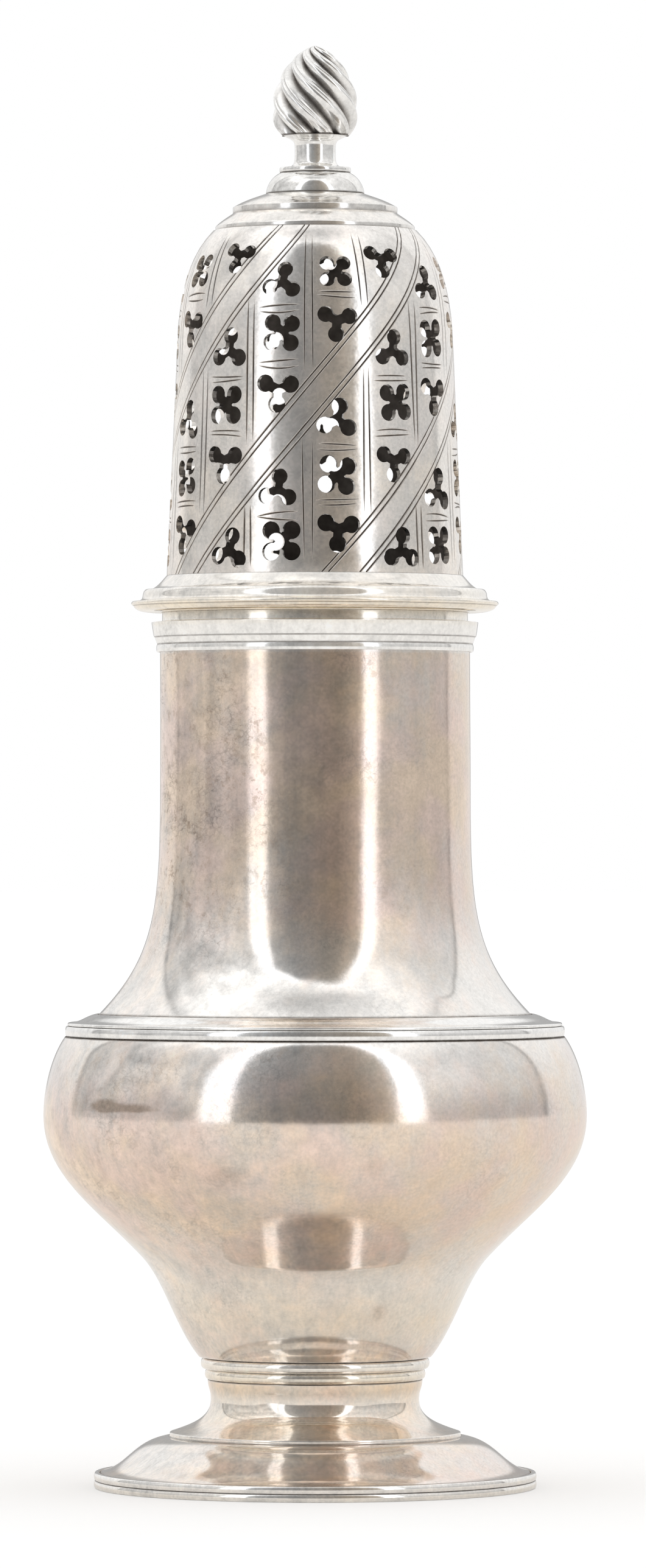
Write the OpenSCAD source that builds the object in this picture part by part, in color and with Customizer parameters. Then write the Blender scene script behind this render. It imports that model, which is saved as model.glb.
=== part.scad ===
// Silver sugar caster of baluster form, with a pierced cover that lifts off.
// Millimetres, +Z up, with the origin on the table under the middle of the foot.
// A point of an outline is [radius, height], and every outline runs from the bottom up.

/* [Sheet and fits] */
// Thickness of the raised silver sheet
wall = 0.7; // [0.5:0.05:0.9]
// Gap that solder fills around a ring or a tang
solder_gap = 0.05; // [0.02:0.01:0.1]
// Radial clearance of the cover's sleeve in the neck
sleeve_clearance = 0.08; // [0.04:0.01:0.1]

/* [Foot] */
// Diameter of the rim that stands on the table
foot_d = 53.8; // [48:0.2:60]
// Height of the rim's moulding
rim_h = 1.9; // [1.6:0.1:2.4]
// Width of the rim's ring on the table
rim_w = 3.3; // [2.6:0.1:5]
// Height of the ledge inside the rim that carries the foot
ledge_h = 1; // [0.6:0.1:1.4]
// Thickness of the rim outside the foot's edge
rim_lip = 0.7; // [0.5:0.05:1]
// Diameter of the step between the foot's dome and its spool
step_d = 35.4; // [32:0.2:38]
// Height of the step's tread above the table
step_z = 6.2; // [5.6:0.1:6.8]
// Width of the step's tread
step_tread = 0.5; // [0.3:0.1:0.9]
// Rise of the step
step_rise = 0.55; // [0.4:0.05:0.8]
// Diameter of the spool at its waist
waist_d = 25.4; // [22:0.2:28]
// Height of the waist above the table
waist_z = 10.8; // [9.5:0.1:11.8]
// Height of the foot up to its collar
foot_h = 13.2; // [12.4:0.1:16]
// How far the spool opens out again above its waist
throat_out = 0.35; // [0.1:0.05:0.6]

/* [Collar] */
// Height of the reeded collar between foot and bowl
collar_h = 2.7; // [2.2:0.1:3.4]
// How far the collar's upper reed stands out from the waist
collar_out = 1.2; // [0.9:0.1:1.8]
// How far the lower reed stands in from the upper one
collar_step = 0.5; // [0.2:0.1:0.7]
// How far the foot's spigot stands in from the waist
spigot_in = 0.55; // [0.3:0.05:0.9]

/* [Bowl] */
// Height of the bowl
bowl_h = 38.9; // [36:0.1:44]
// How far the bowl's base stands out from the collar
base_out = 0.2; // [0:0.1:0.6]
// Diameter of the bowl where its side turns from hollow to full
turn_d = 42; // [38:0.2:46]
// Height of that turn above the bowl's base
turn_h = 12.1; // [10:0.1:14]
// Diameter of the belly
belly_d = 66; // [60:0.2:72]
// Height of the belly above the bowl's base
belly_h = 29.3; // [26:0.1:32]
// How far the bowl's mouth stands in from the belly
mouth_in = 2.65; // [2:0.05:4]

/* [Girdle] */
// Height of the girdle moulding above the bowl's mouth
girdle_h = 2.7; // [2.3:0.1:3.4]
// Height of the girdle's outer reed
reed_h = 1.25; // [0.9:0.05:1.35]
// Height of the thin reed above it
thin_reed_h = 0.45; // [0.3:0.05:0.6]
// Width of the girdle's shelf, from its outer face to the neck
shelf_w = 4.1; // [3.8:0.05:4.6]
// Width of the girdle's lip that stands on the bowl's edge
girdle_lip = 0.35; // [0.25:0.05:0.5]

/* [Neck] */
// Diameter of the neck's upright part
neck_d = 37.7; // [34:0.1:40]
// Height of the neck above the bowl's mouth
neck_h = 50.4; // [46:0.1:60]
// Height of the flare at the neck's foot, above the girdle
flare_h = 26.5; // [22:0.1:30]
// Height of the moulding around the neck's mouth
lip_h = 3.7; // [3:0.1:5]
// How far that moulding stands out from the neck
lip_out = 1; // [0.7:0.05:1.4]

/* [Cover] */
// Height of the seat that shows between the neck's mouth and the flange
seat_h = 1.1; // [0.6:0.1:1.6]
// Width of the seat's ring outside the sleeve
seat_w = 0.5; // [0.3:0.05:0.6]
// Height of the flange
flange_h = 4.5; // [4:0.1:5.4]
// How far the flange stands out past the neck's moulding
flange_out = 2.45; // [1.8:0.05:3.2]
// Height of the flange's edge above its underside
flange_edge_h = 1.1; // [0.9:0.1:1.4]
// Height of the sleeve inside the flange
socket_h = 3.3; // [2.6:0.1:3.8]
// Length of the sleeve below the neck's mouth
sleeve_l = 11; // [8:0.5:14]
// How far the dome stands in from the neck's side
dome_in = 0.85; // [0.7:0.05:1.3]
// Height of the dome
dome_h = 41.9; // [39:0.1:48]
// How far the dome's side leans in below its shoulder
dome_lean = 1.25; // [0.6:0.05:1.6]
// Height of the dome's shoulder
shoulder_h = 13.2; // [11:0.1:15]
// Height of the lip that centres the dome on the flange
centring_h = 0.9; // [0.5:0.1:1]

/* [Piercing] */
// Number of plain spiral bands around the dome
bands = 5; // [4:1:5]
// Columns of pierced cells in each band's share of the turn
columns_each = 3; // [2:1:3]
// Height between one spiral band and the next
band_pitch = 25; // [22:0.5:28]
// Height between the pierced cells of a column
cell_pitch = 6.6; // [5.8:0.1:7]
// Diameter of a pierced lobe
lobe_d = 2.05; // [1.6:0.05:2.3]
// Distance of a lobe's centre from the cell's middle
lobe_out = 1.7; // [1.5:0.05:1.9]
// Width of the sawn stem between the lobes
stem_w = 1.2; // [0.8:0.05:1.4]
// Height of the first quatrefoil above the dome's edge
first_cell_h = 11.7; // [9:0.1:14]
// Distance of the outermost cells' middles from the dome's two edges
margin_h = 3.2; // [2.8:0.1:4]
// How far a cell may be moved back to keep that distance
shift_h = 2; // [0:0.1:2.4]

/* [Crown and finial] */
// Diameter of the crown at its foot
crown_d = 24.2; // [22:0.1:27]
// Width of the dome's edge outside the crown
crown_ledge = 0.3; // [0.1:0.05:0.5]
// Height of the crown's upright edge
crown_edge_h = 0.5; // [0.3:0.05:0.8]
// Height of the crown
crown_h = 4.5; // [4:0.1:5.4]
// Diameter of the reed around the crown
crown_reed_d = 20; // [18:0.1:21]
// Height of the reed
crown_reed_h = 0.65; // [0.5:0.05:0.8]
// Height of the reed's foot above the dome
crown_reed_up = 2.15; // [1.8:0.05:2.5]
// Depth of the crown's spigot in the dome
crown_spigot_h = 0.9; // [0.6:0.1:1.4]
// Diameter of the finial's plinth
plinth_d = 12; // [11:0.1:14]
// Height of the plinth
plinth_h = 3.2; // [2.8:0.1:4]
// Diameter of the disc on top of the plinth
plinth_top_d = 8.7; // [8:0.1:9.4]
// Diameter of the finial's stem
stem_d = 5; // [4.4:0.1:5.6]
// Height of the stem
stem_h = 3.9; // [3.4:0.1:5]
// Diameter of the cup at the top of the stem
cup_d = 7.8; // [6.6:0.1:8.2]
// Diameter of the tang that holds the finial
tang_d = 2.4; // [2:0.1:3]
// Length of the tang below the crown's sheet
tang_end = 0.6; // [0.3:0.1:1]
// Height of the flame
flame_h = 10.9; // [9.5:0.1:13]
// Largest diameter of the flame
flame_d = 10.5; // [9.6:0.1:12]
// Diameter of the flame at its foot
flame_foot_d = 8.6; // [8.4:0.1:9.2]
// Number of wrythen ribs
ribs = 8; // [6:1:10]
// Depth of the grooves between the ribs
rib_depth = 0.8; // [0.4:0.05:1]
// Turn of a rib from the foot to the tip, in degrees
rib_turn = 165; // [90:5:180]

/* [Hidden] */

warm_silver = [0.79, 0.73, 0.66];
pale_silver = [0.84, 0.81, 0.75];
cast_silver = [0.72, 0.67, 0.62];

// Heights of the joints, from the table up
bowl_z = foot_h + collar_h;
mouth_z = bowl_z + bowl_h;
girdle_z = mouth_z + girdle_h;
lip_z = mouth_z + neck_h;
flange_z = lip_z + seat_h;
dome_z = flange_z + flange_h;
crown_z = dome_z + dome_h;
plinth_z = crown_z + crown_h;
stem_z = plinth_z + plinth_h;
flame_z = stem_z + stem_h;

// Radii that neighbours share
foot_r = foot_d / 2;
edge_r = foot_r - rim_lip - solder_gap;
step_r = step_d / 2;
waist_r = waist_d / 2;
collar_r = waist_r + collar_out;
spigot_r = waist_r - spigot_in;
base_r = collar_r + base_out;
turn_r = turn_d / 2;
belly_r = belly_d / 2;
mouth_r = belly_r - mouth_in;
flare_r = mouth_r - shelf_w;
neck_r = neck_d / 2;
bore_r = neck_r - wall;
sleeve_r = bore_r - sleeve_clearance;
socket_r = sleeve_r + solder_gap;
seat_r = sleeve_r + seat_w;
flange_r = neck_r + lip_out + flange_out;
dome_r = neck_r - dome_in;
shoulder_r = dome_r - dome_lean;
crown_r = crown_d / 2;
dome_top_r = crown_r + crown_ledge;
tang_r = tang_d / 2;
tang_hole_r = tang_r + solder_gap;

// Fine detail of the turned mouldings
bead_proud = 0.2;
collar_bead = 0.4;
groove_w = 0.1;
thin_reed_in = 0.3;
tip_round = 0.25;
flange_step = 0.4;
seam_land = 0.4;
curve_steps = 8;
round_fn = 96;

// How each curve leaves and meets its ends, as [outwards, upwards]
foot_leave = [-3.2, 0.6];
foot_meet = [-3.9, 0.5];
spool_leave = [-2.6, 0.9];
spool_meet = [0, 2.4];
throat_leave = [0, 1.2];
bowl_leave = [2.9, 3.6];
turn_slope = [2.7, 2.9];
belly_meet = 7.4;
mouth_leave = 3.6;
mouth_meet = [-1.55, 2.2];
shelf_sag = 0.35;
flare_leave = [-6.4, 6.6];
flare_meet = 14.5;
dome_bend = 7.3;
crown_meet = [-2.1, 2.1];
crown_leave = [-0.6, 0.65];
reed_meet = [-0.7, 0.5];
reed_leave = [-1.2, 0.7];
crown_top_meet = [-1.6, 0.55];
crown_inner_leave = [-1.8, 1.7];
crown_inner_meet = [-2.2, 0.9];
plinth_leave = [-0.1, 1.2];
plinth_meet = [-0.9, 0.4];
bud_leave = 3;
bud_meet = [-4.15, 1.3];

// Corners of the pierced figures, as angles seen from outside the dome
quatrefoil = [45, 135, 225, 315];
upright_trefoil = [80, 205, 325];
hanging_trefoil = [20, 150, 265];
// Angle of the first column, just right of the front
first_column = -81;

// A cubic's middle lies inside its handles, so the bud's handle is this much longer than its swell
bud_gain = 2.4;
// The grooves run out at the tip, where they are no deeper than this share of the radius
tip_groove = 0.25;
flame_levels = 16;
rib_sides = 6;

// Cubic curve from one point to another, with two handles
function curve(start, leave, meet, end, steps = curve_steps) = [
  for (i = [0:steps])
    let (t = i / steps, b = start + leave, c = end - meet)
    start * (1 - t) ^ 3 + 3 * b * t * (1 - t) ^ 2 + 3 * c * t ^ 2 * (1 - t) + end * t ^ 3
];

// Half-round bead on a turned face
function bead(radius, low, high, proud, steps = 6) = [
  for (i = [0:steps])
    let (a = 180 * i / steps)
    [radius + proud * sin(a), (low + high) / 2 - (high - low) / 2 * cos(a)]
];

function unit(v) = v / norm(v);
function upside_down(points) = [for (i = [len(points) - 1:-1:0]) points[i]];
function without_first(points) = [for (i = [1:len(points) - 1]) points[i]];

// Direction into the sheet at a point of its outer face
function inward(points, i) =
  let (d = unit(points[min(i + 1, len(points) - 1)] - points[max(i - 1, 0)]))
  [-d.y, d.x];

// Inner face of a sheet, with its two ends cut level
function inner_face(points) = [
  for (i = [0:len(points) - 1])
    let (n = inward(points, i), end = i == 0 || i == len(points) - 1)
    end && abs(n.x) > abs(n.y) ? points[i] - [wall / abs(n.x), 0] : points[i] + wall * n
];

module turned(points) {
  rotate_extrude($fn = round_fn) polygon(points);
}

// Ring under the foot's edge, with two reeds on its outer face
module foot_rim() {
  reed_r = foot_r - bead_proud;
  mid_z = rim_h / 2;
  rim_in = foot_r - rim_w;
  color(pale_silver) turned(concat(
    [[rim_in, 0]],
    bead(reed_r, 0, mid_z, bead_proud),
    bead(reed_r, mid_z, rim_h, bead_proud),
    [
      [edge_r + solder_gap, rim_h],
      [edge_r + solder_gap, ledge_h],
      [rim_in, ledge_h]
    ]
  ));
}

// Foot: a low dome, a step and a spool, with a spigot inside the collar
module foot() {
  tread_in = [step_r, step_z];
  dome_side = curve([edge_r, rim_h], foot_leave, foot_meet, tread_in + [step_tread, 0]);
  spool_side = curve(tread_in + [0, step_rise], spool_leave, spool_meet, [waist_r, waist_z]);
  shoulder = [waist_r + throat_out, foot_h];
  throat = curve([waist_r, waist_z], throat_leave, throat_leave, shoulder, 4);
  skirt = concat([[edge_r, ledge_h]], dome_side, [tread_in], spool_side);
  bore = spigot_r - wall;
  color(warm_silver) turned(concat(
    skirt,
    without_first(throat),
    [[spigot_r, foot_h], [spigot_r, bowl_z], [bore, bowl_z], [bore, waist_z]],
    upside_down(inner_face(skirt))
  ));
}

// Collar of two reeds around the foot's spigot, under the bowl
module foot_collar() {
  bore = spigot_r + solder_gap;
  split_z = foot_h + (collar_h - groove_w) / 2;
  upper_r = collar_r - collar_bead;
  lower_r = upper_r - collar_step;
  color(pale_silver) turned(concat(
    [[bore, foot_h]],
    bead(lower_r, foot_h, split_z, collar_bead),
    bead(upper_r, split_z, bowl_z - groove_w, collar_bead),
    [[upper_r, bowl_z], [bore, bowl_z]]
  ));
}

// Bowl: hollow below, full at the belly, open at the mouth
module bowl() {
  turn = [turn_r, bowl_z + turn_h];
  belly = [belly_r, bowl_z + belly_h];
  mouth = [mouth_r, mouth_z];
  side = concat(
    curve([base_r, bowl_z], bowl_leave, turn_slope, turn),
    without_first(curve(turn, 2 * turn_slope, [0, belly_meet], belly)),
    without_first(curve(belly, [0, mouth_leave], mouth_meet, mouth))
  );
  inside = without_first(inner_face(side));
  floor_z = bowl_z + wall;
  color(warm_silver) turned(concat(
    [[0, bowl_z]],
    side,
    upside_down(inside),
    [[inside[0].x, floor_z], [0, floor_z]]
  ));
}

// Moulded ring over the seam between bowl and neck
module girdle_moulding() {
  reed_z = mouth_z + reed_h;
  thin_z = reed_z + thin_reed_h;
  reed_r = mouth_r - bead_proud;
  thin_r = reed_r - thin_reed_in;
  lip_r = mouth_r - girdle_lip;
  land_z = mouth_z + wall;
  neck_side = flare_r + 2 * solder_gap;
  color(pale_silver) turned(concat(
    [[lip_r, mouth_z]],
    bead(reed_r, mouth_z, reed_z, bead_proud),
    bead(thin_r, reed_z, thin_z, bead_proud),
    curve(
      [thin_r, thin_z], [-shelf_w / 3, 0], [-shelf_w / 3, shelf_sag],
      [neck_side + seam_land, girdle_z]
    ),
    [
      [neck_side, girdle_z],
      [neck_side + girdle_z - land_z, land_z],
      [lip_r, land_z]
    ]
  ));
}

// Neck: an upright tube that flares at its foot to a flange on the bowl's edge
module neck() {
  flange_edge = mouth_r - girdle_lip - solder_gap;
  land_z = mouth_z + wall;
  flare = curve(
    [flare_r, girdle_z], flare_leave, [0, flare_meet], [neck_r, girdle_z + flare_h], 12
  );
  inside = without_first(inner_face(flare));
  slant = wall * sqrt(2);
  color(warm_silver) turned(concat(
    [
      [flare_r + girdle_h - slant, mouth_z],
      [flange_edge, mouth_z],
      [flange_edge, land_z],
      [flare_r + girdle_z - land_z, land_z]
    ],
    flare,
    [[neck_r, lip_z], [bore_r, lip_z]],
    upside_down(inside)
  ));
}

// Moulding around the neck's mouth
module lip_moulding() {
  bore = neck_r + solder_gap;
  low_z = lip_z - lip_h;
  band_z = low_z + lip_h / 4;
  band_r = neck_r + lip_out / 3;
  full_r = neck_r + lip_out - bead_proud;
  bead_z = lip_z - lip_h / 2;
  color(pale_silver) turned(concat(
    [[bore, low_z]],
    bead(band_r, low_z, band_z, groove_w),
    curve([band_r, band_z], [0, groove_w], [0, groove_w], [full_r, bead_z], 4),
    bead(full_r, bead_z, lip_z, bead_proud),
    [[bore, lip_z]]
  ));
}

// Sleeve of the cover, which slides in the neck
module sleeve() {
  low_z = lip_z - sleeve_l;
  high_z = lip_z + socket_h;
  color(warm_silver) turned([
    [sleeve_r - wall, low_z], [sleeve_r, low_z],
    [sleeve_r, high_z], [sleeve_r - wall, high_z]
  ]);
}

// Flange of the cover: a seat on the neck's mouth, an ogee edge and a land for the dome
module cover_flange() {
  edge_z = flange_z + flange_edge_h;
  ogee_r = (flange_r + dome_r) / 2;
  ogee_z = (edge_z + dome_z) / 2;
  lean = dome_lean * centring_h / (dome_h - shoulder_h);
  centring_r = dome_r - wall - lean - solder_gap;
  tip = flange_r - tip_round;
  rise = ogee_z - edge_z;
  color(pale_silver) turned(concat(
    [[socket_r, lip_z], [seat_r, lip_z]],
    curve([seat_r, flange_z], [(tip - seat_r) / 2, 0], [tip_round, rise / 2], [tip, edge_z - tip_round]),
    bead(tip, edge_z - tip_round, edge_z + tip_round, tip_round),
    curve([tip, edge_z + tip_round], [-rise, 0], [-flange_step, rise / 2], [ogee_r + flange_step, ogee_z]),
    curve([ogee_r, ogee_z], [-rise / 2, 0], [0, rise / 3], [dome_r, dome_z]),
    [
      [centring_r, dome_z],
      [centring_r, dome_z + centring_h],
      [centring_r - wall, dome_z + centring_h],
      [centring_r - wall, lip_z + socket_h],
      [socket_r, lip_z + socket_h]
    ]
  ));
}

// Outline of the dome: a side that leans in a little, then a shoulder
dome_side = concat(
  [[dome_r, dome_z]],
  curve(
    [shoulder_r, crown_z - shoulder_h],
    dome_bend * unit([-dome_lean, dome_h - shoulder_h]),
    crown_meet,
    [dome_top_r, crown_z],
    6
  )
);
dome_heights = [for (p = dome_side) [p.y, p.x]];
function dome_radius(z) = lookup(z, dome_heights);
function dome_slope(z) = atan((dome_radius(z - lobe_out) - dome_radius(z + lobe_out)) / (2 * lobe_out));

// Places a flat figure on the dome, square to its wall
module on_dome(turn, z) {
  rotate([0, 0, turn])
    translate([dome_radius(z), 0, z])
      rotate([0, -dome_slope(z), 0])
        rotate([90, 0, 90])
          scale(dome_radius(z) / dome_r)
            children();
}

// Pierced figure of round lobes on sawn stems, one in each listed corner
module foil(corners) {
  depth = 4 * wall;
  linear_extrude(depth, center = true)
    for (corner = corners)
      rotate(corner) {
        translate([lobe_out, 0]) circle(d = lobe_d, $fn = 32);
        translate([0, -stem_w / 2]) square([lobe_out, stem_w]);
      }
}

// Dome: a shell pierced with a trellis of quatrefoils and trefoils between spiral bands
module dome() {
  column_turn = 360 / (bands * columns_each);
  column_rise = band_pitch / columns_each;
  low_z = dome_z + margin_h;
  high_z = crown_z - margin_h;
  reach = ceil(dome_h / band_pitch) + columns_each;
  color(pale_silver) difference() {
    turned(concat(dome_side, upside_down(inner_face(dome_side))));
    for (column = [0:bands * columns_each - 1], strip = [-reach:reach], cell = [-1:1]) {
      z = dome_z + first_cell_h + (column % columns_each) * column_rise
        + strip * band_pitch + cell * cell_pitch;
      corners = cell == 0 ? quatrefoil : cell > 0 ? upright_trefoil : hanging_trefoil;
      if (z > low_z - shift_h && z < high_z)
        on_dome(first_column + column * column_turn, max(z, low_z)) foil(corners);
    }
  }
}

// Crown: a low cap with a reed around it, which closes the dome and carries the finial
module crown() {
  foot_edge = [crown_r, crown_z + crown_edge_h];
  top_edge = [plinth_d / 2, plinth_z];
  reed_r = crown_reed_d / 2 - bead_proud;
  reed_low = crown_z + crown_reed_up;
  reed_high = reed_low + crown_reed_h;
  side = concat(
    curve(foot_edge, crown_leave, reed_meet, [reed_r + bead_proud, reed_low], 6),
    bead(reed_r, reed_low, reed_high, bead_proud),
    without_first(curve([reed_r, reed_high], reed_leave, crown_top_meet, top_edge))
  );
  inside = inner_face(curve(foot_edge, crown_inner_leave, crown_inner_meet, top_edge));
  spigot = inner_face(dome_side)[len(dome_side) - 1].x - solder_gap;
  last = len(inside) - 1;
  color(warm_silver) turned(concat(
    [
      [spigot - wall, crown_z - crown_spigot_h],
      [spigot, crown_z - crown_spigot_h],
      [spigot, crown_z],
      [crown_r, crown_z]
    ],
    side,
    [
      [tang_hole_r, plinth_z],
      [tang_hole_r, plinth_z - wall],
      [inside[last].x, plinth_z - wall]
    ],
    upside_down([for (i = [1:last - 1]) inside[i]])
  ));
}

// Plinth of the finial: a rounded drum with a thin disc on top
module finial_plinth() {
  disc_h = plinth_h / 5;
  base = plinth_d / 2;
  top = plinth_top_d / 2 - groove_w;
  color(pale_silver) turned(concat(
    [[tang_hole_r, plinth_z]],
    curve([base, plinth_z], plinth_leave, plinth_meet, [top, stem_z - disc_h], 6),
    bead(top, stem_z - disc_h, stem_z, groove_w),
    [[tang_hole_r, stem_z]]
  ));
}

// Stem of the finial, with a tang down through the plinth and the crown
module finial_stem() {
  stem_r = stem_d / 2;
  cup_r = cup_d / 2;
  flare = cup_r - stem_r;
  waist = stem_z + stem_h / 2;
  color(cast_silver) turned(concat(
    [
      [0, plinth_z - wall - tang_end],
      [tang_r, plinth_z - wall - tang_end],
      [tang_r, stem_z]
    ],
    curve([cup_r, stem_z], [-flare, 0], [0, flare], [stem_r, waist], 6),
    without_first(curve([stem_r, waist], [0, flare], [flare, flare / 2], [cup_r, flame_z], 6)),
    [[0, flame_z]]
  ));
}

// Flame of the finial: a bud of ribs that wind around it
module finial_flame() {
  around = rib_sides * ribs;
  foot_reach = flame_foot_d / 2;
  swell = bud_gain * (flame_d / 2 - foot_reach);
  bud = curve([foot_reach, 0], [swell, bud_leave], bud_meet, [tip_round, flame_h], flame_levels);
  function rib_reach(level, a) =
    let (groove = min(rib_depth, tip_groove * level.x))
    level.x - groove * (1 - abs(sin(ribs * a / 2)));
  rings = [
    for (level = bud, i = [0:around - 1])
      let (a = 360 * i / around, turn = a - rib_turn * level.y / flame_h, r = rib_reach(level, a))
      [r * cos(turn), r * sin(turn), flame_z + level.y]
  ];
  foot_mid = len(rings);
  tip_mid = foot_mid + 1;
  faces = concat(
    [for (i = [0:around - 1]) [foot_mid, i, (i + 1) % around]],
    [
      for (k = [0:flame_levels - 1], i = [0:around - 1], half = [0, 1])
        let (a = k * around + i, b = k * around + (i + 1) % around)
        half == 0 ? [a, a + around, b] : [b, a + around, b + around]
    ],
    [
      for (i = [0:around - 1])
        let (top = flame_levels * around)
        [tip_mid, top + (i + 1) % around, top + i]
    ]
  );
  color(cast_silver) polyhedron(
    points = concat(rings, [[0, 0, flame_z], [0, 0, flame_z + flame_h]]),
    faces = faces
  );
}

foot_rim();
foot();
foot_collar();
bowl();
girdle_moulding();
neck();
lip_moulding();
sleeve();
cover_flange();
dome();
crown();
finial_plinth();
finial_stem();
finial_flame();
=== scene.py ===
import math
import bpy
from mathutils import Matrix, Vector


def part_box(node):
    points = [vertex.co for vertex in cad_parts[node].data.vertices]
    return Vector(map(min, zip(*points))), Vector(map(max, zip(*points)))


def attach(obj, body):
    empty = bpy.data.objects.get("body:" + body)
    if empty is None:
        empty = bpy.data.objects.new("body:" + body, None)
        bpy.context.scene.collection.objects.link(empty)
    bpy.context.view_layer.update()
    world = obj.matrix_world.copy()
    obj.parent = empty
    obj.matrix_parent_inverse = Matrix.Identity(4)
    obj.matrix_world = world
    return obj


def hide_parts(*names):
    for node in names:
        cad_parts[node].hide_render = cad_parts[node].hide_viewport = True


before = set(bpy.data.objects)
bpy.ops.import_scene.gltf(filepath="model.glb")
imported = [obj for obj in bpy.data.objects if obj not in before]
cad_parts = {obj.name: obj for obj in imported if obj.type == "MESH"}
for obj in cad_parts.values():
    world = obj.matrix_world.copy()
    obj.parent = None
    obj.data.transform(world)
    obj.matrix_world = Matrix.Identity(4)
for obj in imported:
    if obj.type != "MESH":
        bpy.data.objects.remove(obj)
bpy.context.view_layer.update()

from types import SimpleNamespace

import bpy
import numpy as np
from mathutils.geometry import delaunay_2d_cdt

# Outlines are pairs (radius, height) in millimetres and run anticlockwise: up the outside, down the inside.
# Headings are degrees from the front, which faces -Y, towards the right, which is +X.
mm = 0.001
print("frame loaded:", len(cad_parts), "nodes")


def span(node):
    # size of a turned node: its radius is its widest reach along X or Y, its heights its lowest and highest point
    low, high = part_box(node)
    return SimpleNamespace(r=max(high.x, high.y) / mm, low=low.z / mm, high=high.z / mm)


sizes = {node: span(node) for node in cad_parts}
sheet = {"wall": 0.7, "solderGap": 0.05, "sleeveClearance": 0.08}
wall, gap = sheet["wall"], sheet["solderGap"]
neckR = sizes["sleeve"].r + sheet["sleeveClearance"] + wall


# Outlines

def curve(start, leave, meet, end, steps=24):
    # cubic from start to end, its handles at start + leave and end - meet, weighted by the four Bernstein shares
    start, leave, meet, end = (np.asarray(p, float) for p in (start, leave, meet, end))
    t = np.linspace(0, 1, steps + 1)[:, None]
    near, far = start + leave, end - meet
    return start * (1 - t) ** 3 + 3 * near * t * (1 - t) ** 2 + 3 * far * t ** 2 * (1 - t) + end * t ** 3


def bead(radius, low, high, proud, steps=12):
    # half-round reed: the radius gains proud times the sine of a, the height follows the cosine of a
    a = np.linspace(0, np.pi, steps + 1)
    return np.stack([radius + proud * np.sin(a), (low + high) / 2 - (high - low) / 2 * np.cos(a)], 1)


def inward(side):
    # unit normals of an outline towards the sheet: the tangent (dr, dz) turned to (-dz, dr)
    d = np.gradient(side, axis=0)
    d /= np.linalg.norm(d, axis=1, keepdims=True)
    return np.stack([-d[:, 1], d[:, 0]], 1)


def sheetInside(side):
    # inner face of a sheet: every point moved by the wall along its inward normal, with upright ends cut level
    n = inward(side)
    inside = side + wall * n
    for end in (0, -1):
        if abs(n[end, 0]) > abs(n[end, 1]):
            inside[end] = side[end] - (wall / abs(n[end, 0]), 0)
    return inside


def corners(outline, least):
    # masks of the points where a closed outline turns out, and where it turns in, by more than least degrees
    a = outline - np.roll(outline, 1, 0)
    b = np.roll(outline, -1, 0) - outline
    turn = np.degrees(np.arctan2(a[:, 0] * b[:, 1] - a[:, 1] * b[:, 0], (a * b).sum(1)))
    return turn > least, turn < -least


easing = {"sharp": 28, "most": 0.45, "points": 5, "flat": 1.5, "flatMost": 0.49}


def easeCorners(outline, radius):
    # every sharp corner becomes a parabola between points one radius before and after it, at most a share of a side,
    # with one more point half a radius further along each side, so that the flats next to it stay flat
    a = np.roll(outline, 1, 0) - outline
    b = np.roll(outline, -1, 0) - outline
    lengthA, lengthB = np.linalg.norm(a, axis=1), np.linalg.norm(b, axis=1)
    sharp = np.logical_or(*corners(outline, easing["sharp"])) & (outline[:, 0] > 0)
    cut = np.where(sharp, np.minimum(radius, easing["most"] * np.minimum(lengthA, lengthB)), 0)
    t = np.linspace(0, 1, easing["points"])[None, :, None]
    first = (outline + a * (cut / lengthA)[:, None])[:, None]
    last = (outline + b * (cut / lengthB)[:, None])[:, None]
    arc = first * (1 - t) ** 2 + 2 * outline[:, None] * t * (1 - t) + last * t ** 2
    before, after = (
        outline + side * (np.minimum(easing["flat"] * cut, easing["flatMost"] * length) / length)[:, None]
        for side, length in ((a, lengthA), (b, lengthB)))
    arc = np.concatenate([before[:, None], arc, after[:, None]], 1)
    return arc[sharp[:, None] | (np.arange(easing["points"] + 2) == 1)]


def nearness(points, spots, reach):
    # 1 at a spot, falling off as a bell of that reach with the distance to the nearest spot
    if len(spots) == 0:
        return np.zeros(len(points))
    d = np.linalg.norm(points[:, None] - np.asarray(spots, float)[None], axis=2).min(1)
    return np.exp(-(d / reach) ** 2)


hammered = {"height": 0.016, "waves": ((3, 11, 0), (5, -7, 1.3), (2, 5, 4.1))}


def handRaised(angle, z):
    # unevenness of hammered work in mm: three sines over angle and height, the same for every piece
    return hammered["height"] * sum(np.sin(n * angle + z / tall + start) for n, tall, start in hammered["waves"])


# Meshes

turning = {"sides": 256, "crease": 34, "corner": 20, "lookIn": 0.05, "soilReach": 0.18, "wearReach": 0.22}


def addObject(name, verts, faces, finishes, slots, smooth=True):
    # mesh in metres from points in mm and faces as index lists, with one material number for each face
    mesh = bpy.data.meshes.new(name)
    mesh.from_pydata((np.asarray(verts) * mm).tolist(), [], faces)
    for finish in finishes:
        mesh.materials.append(finish)
    mesh.polygons.foreach_set("material_index", np.asarray(slots, np.int32))
    if smooth:
        mesh.shade_smooth()
        mesh.set_sharp_from_angle(angle=math.radians(turning["crease"]))
    mesh.update()
    piece = bpy.data.objects.new(name, mesh)
    bpy.context.scene.collection.objects.link(piece)
    return piece


def paint(piece, name, values, domain="POINT"):
    # a number for each point or face corner, which a finish reads by name
    layer = piece.data.attributes.new(name, "FLOAT", domain)
    layer.data.foreach_set("value", np.asarray(values, np.float32).ravel())


def dress(piece, node, body):
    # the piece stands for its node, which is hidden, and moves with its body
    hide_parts(node)
    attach(piece, body)
    print(piece.name, len(piece.data.polygons), "faces")


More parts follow.
